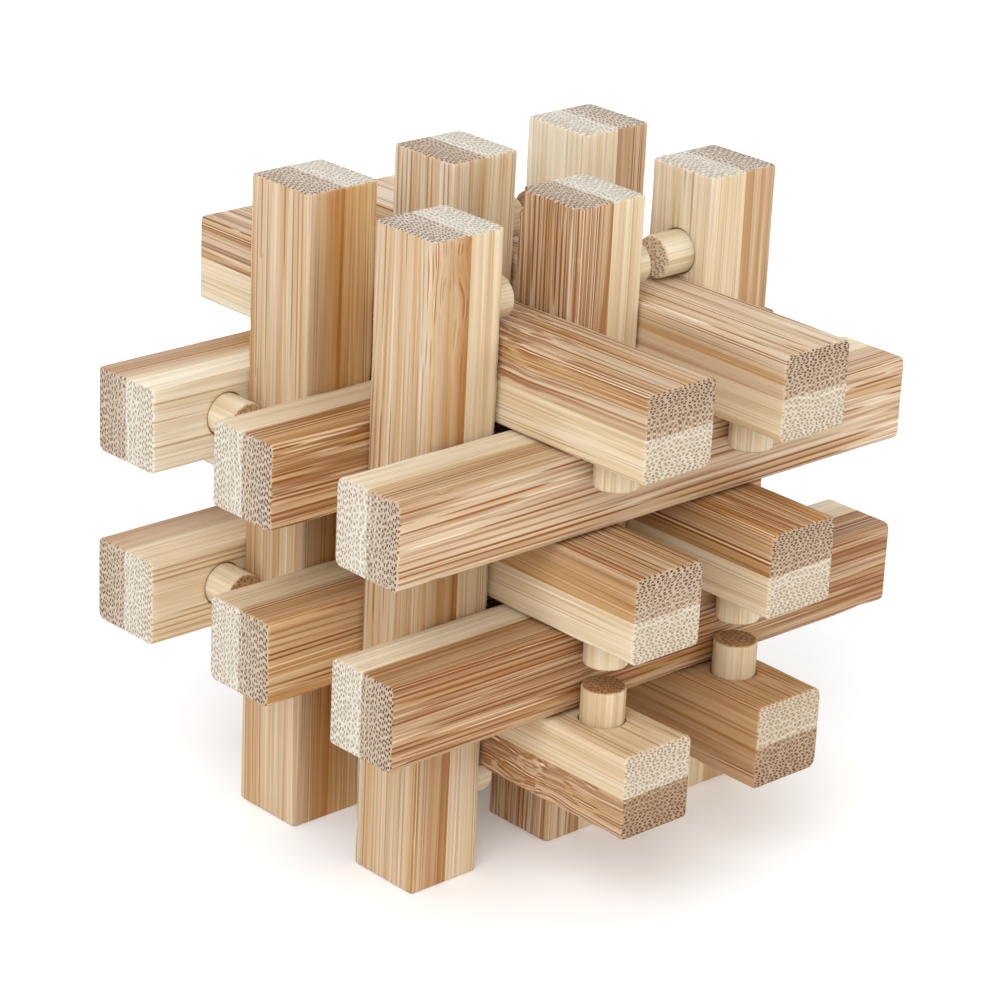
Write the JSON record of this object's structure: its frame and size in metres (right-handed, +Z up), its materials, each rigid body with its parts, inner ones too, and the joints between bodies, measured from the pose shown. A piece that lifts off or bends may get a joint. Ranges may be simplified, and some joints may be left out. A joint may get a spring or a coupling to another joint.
{
  "type": "burr puzzle",
  "caption": "Interlocking bar burr puzzle of laminated bamboo: crossing square bars with dowel stop pegs, opened by sliding out its plain key rails.",
  "frame": {"origin": "centre of the bounding box's bottom face, level with the lower ends of the posts that it stands on", "axes": "+Z up along the posts, +X along the rails (the way the key rails slide), +Y along the beams from front to back"},
  "size_m": [0.077, 0.0746, 0.076],
  "materials": {
    "natural_bamboo": "sanded, unvarnished, pale",
    "carbonized_bamboo": "sanded, unvarnished, steamed to a tan brown",
    "dowel_bamboo": "turned dowel, unvarnished"
  },
  "bodies": {
    "locked_frame": {"post_left_front_dark_strip": "carbonized_bamboo", "post_left_front_pale_strip": "natural_bamboo", "post_left_front_pegs": "dowel_bamboo", "post_left_back_dark_strip": "carbonized_bamboo", "post_left_back_pale_strip": "natural_bamboo", "post_left_back_pegs": "dowel_bamboo", "post_middle_front_dark_strip": "carbonized_bamboo", "post_middle_front_pale_strip": "natural_bamboo", "post_middle_front_pegs": "dowel_bamboo", "post_middle_back_dark_strip": "carbonized_bamboo", "post_middle_back_pale_strip": "natural_bamboo", "post_middle_back_pegs": "dowel_bamboo", "post_right_front_dark_strip": "carbonized_bamboo", "post_right_front_pale_strip": "natural_bamboo", "post_right_front_pegs": "dowel_bamboo", "post_right_back_dark_strip": "carbonized_bamboo", "post_right_back_pale_strip": "natural_bamboo", "post_right_back_pegs": "dowel_bamboo", "rail_front_lower_dark_strip": "carbonized_bamboo", "rail_front_lower_pale_strip": "natural_bamboo", "rail_front_lower_pegs": "dowel_bamboo", "rail_front_upper_dark_strip": "carbonized_bamboo", "rail_front_upper_pale_strip": "natural_bamboo", "rail_front_upper_pegs": "dowel_bamboo", "rail_back_lower_dark_strip": "carbonized_bamboo", "rail_back_lower_pale_strip": "natural_bamboo", "rail_back_lower_pegs": "dowel_bamboo", "rail_back_upper_dark_strip": "carbonized_bamboo", "rail_back_upper_pale_strip": "natural_bamboo", "rail_back_upper_pegs": "dowel_bamboo", "beam_bottom_left_dark_strip": "carbonized_bamboo", "beam_bottom_left_pale_strip": "natural_bamboo", "beam_bottom_left_pegs": "dowel_bamboo", "beam_bottom_right_dark_strip": "carbonized_bamboo", "beam_bottom_right_pale_strip": "natural_bamboo", "beam_bottom_right_pegs": "dowel_bamboo", "beam_middle_left_dark_strip": "carbonized_bamboo", "beam_middle_left_pale_strip": "natural_bamboo", "beam_middle_left_pegs": "dowel_bamboo", "beam_middle_right_dark_strip": "carbonized_bamboo", "beam_middle_right_pale_strip": "natural_bamboo", "beam_middle_right_pegs": "dowel_bamboo", "beam_top_left_dark_strip": "carbonized_bamboo", "beam_top_left_pale_strip": "natural_bamboo", "beam_top_left_pegs": "dowel_bamboo", "beam_top_right_dark_strip": "carbonized_bamboo", "beam_top_right_pale_strip": "natural_bamboo", "beam_top_right_pegs": "dowel_bamboo"},
    "rail_key_lower": {"rail_key_lower_dark_strip": "carbonized_bamboo", "rail_key_lower_pale_strip": "natural_bamboo"},
    "rail_key_upper": {"rail_key_upper_dark_strip": "carbonized_bamboo", "rail_key_upper_pale_strip": "natural_bamboo"}
  },
  "joints": [
    {"name": "key_lower_slide", "type": "slide", "parent": "locked_frame", "child": "rail_key_lower", "axis": [1, 0, 0], "range_m": [-0.055, 0.055]},
    {"name": "key_upper_slide", "type": "slide", "parent": "locked_frame", "child": "rail_key_upper", "axis": [1, 0, 0], "range_m": [-0.055, 0.055]}
  ]
}
